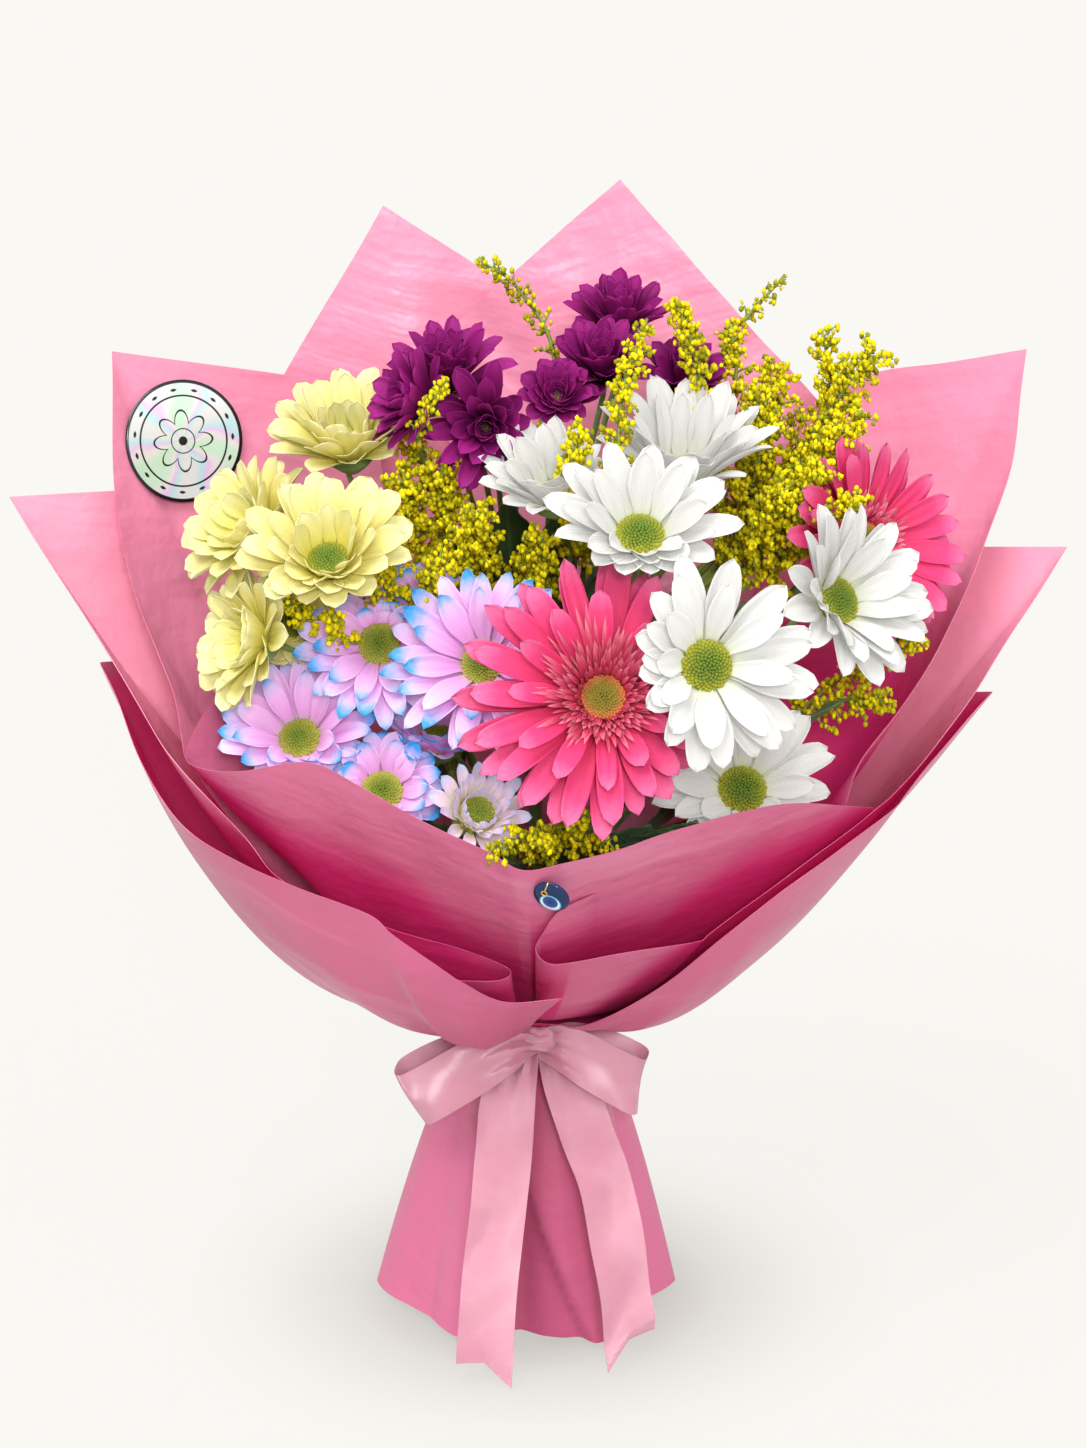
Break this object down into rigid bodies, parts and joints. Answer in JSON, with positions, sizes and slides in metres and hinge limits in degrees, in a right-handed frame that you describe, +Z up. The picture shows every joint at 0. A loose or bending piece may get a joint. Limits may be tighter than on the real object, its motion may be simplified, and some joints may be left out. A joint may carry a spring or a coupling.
{
  "type": "flower bouquet",
  "caption": "Hand-tied bouquet of mixed flowers in layered pink wrapping film with a satin ribbon bow, standing upright on its level-cut stems and flared skirt.",
  "frame": {"origin": "level-cut end of the middle stem, on the surface that the bouquet stands on", "axes": "+Z up along the bundle of stems, -Y towards the front of the bouquet, where the ribbon is tied"},
  "size_m": [0.4611, 0.2717, 0.4966],
  "materials": {
    "film_pink": "soft sheen wrapping film",
    "satin": "satin ribbon",
    "twine": "natural twine",
    "green": "fresh green stem and leaf",
    "goldenrod": "small yellow florets on green twigs",
    "white_petal": "matte petal",
    "cream_petal": "matte petal",
    "lilac_petal": "matte petal with blue tips",
    "purple_petal": "matte petal",
    "pink_petal": "matte petal",
    "silver": "holographic silver film",
    "blue_glass": "opaque blue glass",
    "gold": "polished"
  },
  "bodies": {
    "root": {"paper_back_left": "film_pink", "paper_back_right": "film_pink", "paper_front": "film_pink", "paper_left": "film_pink", "paper_left_mid": "film_pink", "paper_left_outer": "film_pink", "paper_right": "film_pink", "paper_right_mid": "film_pink", "paper_right_outer": "film_pink", "binding_twine": "twine", "ribbon_band": "satin", "ribbon_bow": "satin", "sticker": "silver", "charm_bead": "blue_glass", "charm_pin": "gold", "stem_gerbera_front": "green", "stem_gerbera_right": "green", "spray_cream": "green", "spray_lilac_high": "green", "spray_lilac_low": "green", "spray_purple_left": "green", "spray_purple_right": "green", "spray_white_front": "green", "spray_white_top": "green", "gerbera_front": "pink_petal", "gerbera_right": "pink_petal", "daisy_white_1": "white_petal", "daisy_white_2": "white_petal", "daisy_white_3": "white_petal", "daisy_white_4": "white_petal", "daisy_white_5": "white_petal", "daisy_white_6": "white_petal", "daisy_cream_1": "cream_petal", "daisy_cream_2": "cream_petal", "daisy_cream_3": "cream_petal", "daisy_cream_4": "cream_petal", "daisy_cream_5": "cream_petal", "daisy_lilac_1": "lilac_petal", "daisy_lilac_2": "lilac_petal", "daisy_lilac_3": "lilac_petal", "daisy_lilac_4": "lilac_petal", "daisy_lilac_5": "lilac_petal", "daisy_lilac_6": "lilac_petal", "daisy_lilac_7": "lilac_petal", "daisy_lilac_8": "lilac_petal", "chrysanthemum_purple_1": "purple_petal", "chrysanthemum_purple_2": "purple_petal", "chrysanthemum_purple_3": "purple_petal", "chrysanthemum_purple_4": "purple_petal", "chrysanthemum_purple_5": "purple_petal", "chrysanthemum_purple_6": "purple_petal", "chrysanthemum_purple_7": "purple_petal", "goldenrod_centre": "goldenrod", "goldenrod_front": "goldenrod", "goldenrod_left": "goldenrod", "goldenrod_low_right": "goldenrod", "goldenrod_right": "goldenrod"}
  },
  "joints": []
}
